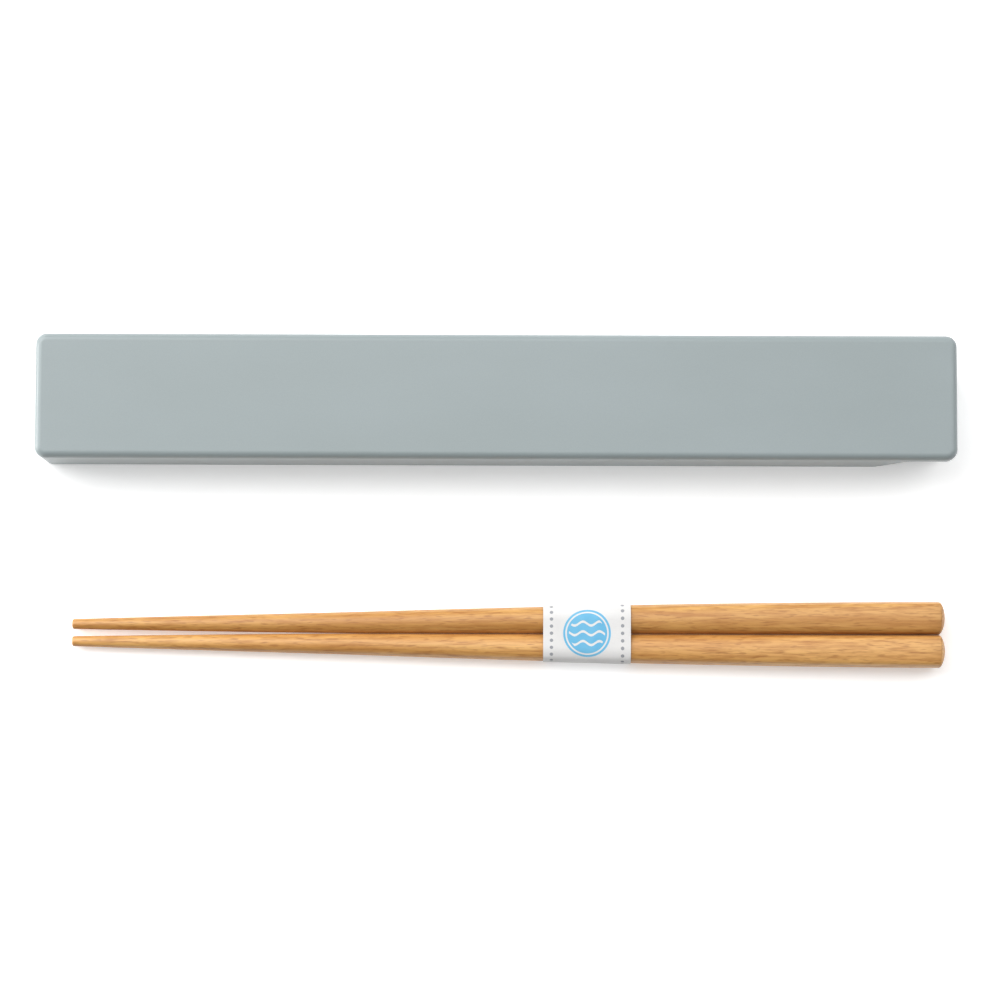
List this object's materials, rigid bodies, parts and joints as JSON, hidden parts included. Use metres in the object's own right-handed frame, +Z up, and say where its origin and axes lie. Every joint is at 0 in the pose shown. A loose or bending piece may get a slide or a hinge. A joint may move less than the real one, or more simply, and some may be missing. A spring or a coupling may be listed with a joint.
{
  "type": "portable chopstick case",
  "caption": "Slim flat-topped travel case of a tray under a deep lift-off lid with a cut-up grip end, shown closed beside its tapered wooden chopsticks, which a paper band holds together.",
  "frame": {"origin": "centre of the tray's flat underside, on the table", "axes": "+Z up, +X along the case to the lid's cut-up grip end and to the chopsticks' butts, +Y away from the chopsticks, which lie towards -Y"},
  "size_m": [0.1882, 0.0677, 0.016],
  "materials": {
    "case": "grey-green satin moulded plastic",
    "wood": "smooth oiled pale hardwood",
    "paper": "uncoated white paper with a small sky-blue print"
  },
  "bodies": {
    "tray": {"tray": "case"},
    "lid": {"lid": "case"},
    "band": {"paper_band": "paper"},
    "rear_chopstick": {"rear_chopstick": "wood"},
    "front_chopstick": {"front_chopstick": "wood"}
  },
  "joints": [
    {"name": "lid_lift", "type": "slide", "parent": "tray", "child": "lid", "axis": [0, 0, 1], "range_m": [0, 0.04]},
    {"name": "bundle_lift", "type": "slide", "parent": "tray", "child": "band", "axis": [0, 0, 1], "range_m": [0, 0.06]},
    {"name": "rear_chopstick_draw", "type": "slide", "parent": "band", "child": "rear_chopstick", "axis": [1, 0, 0], "range_m": [0, 0.118]},
    {"name": "front_chopstick_draw", "type": "slide", "parent": "band", "child": "front_chopstick", "axis": [1, 0, 0], "range_m": [0, 0.118]}
  ]
}
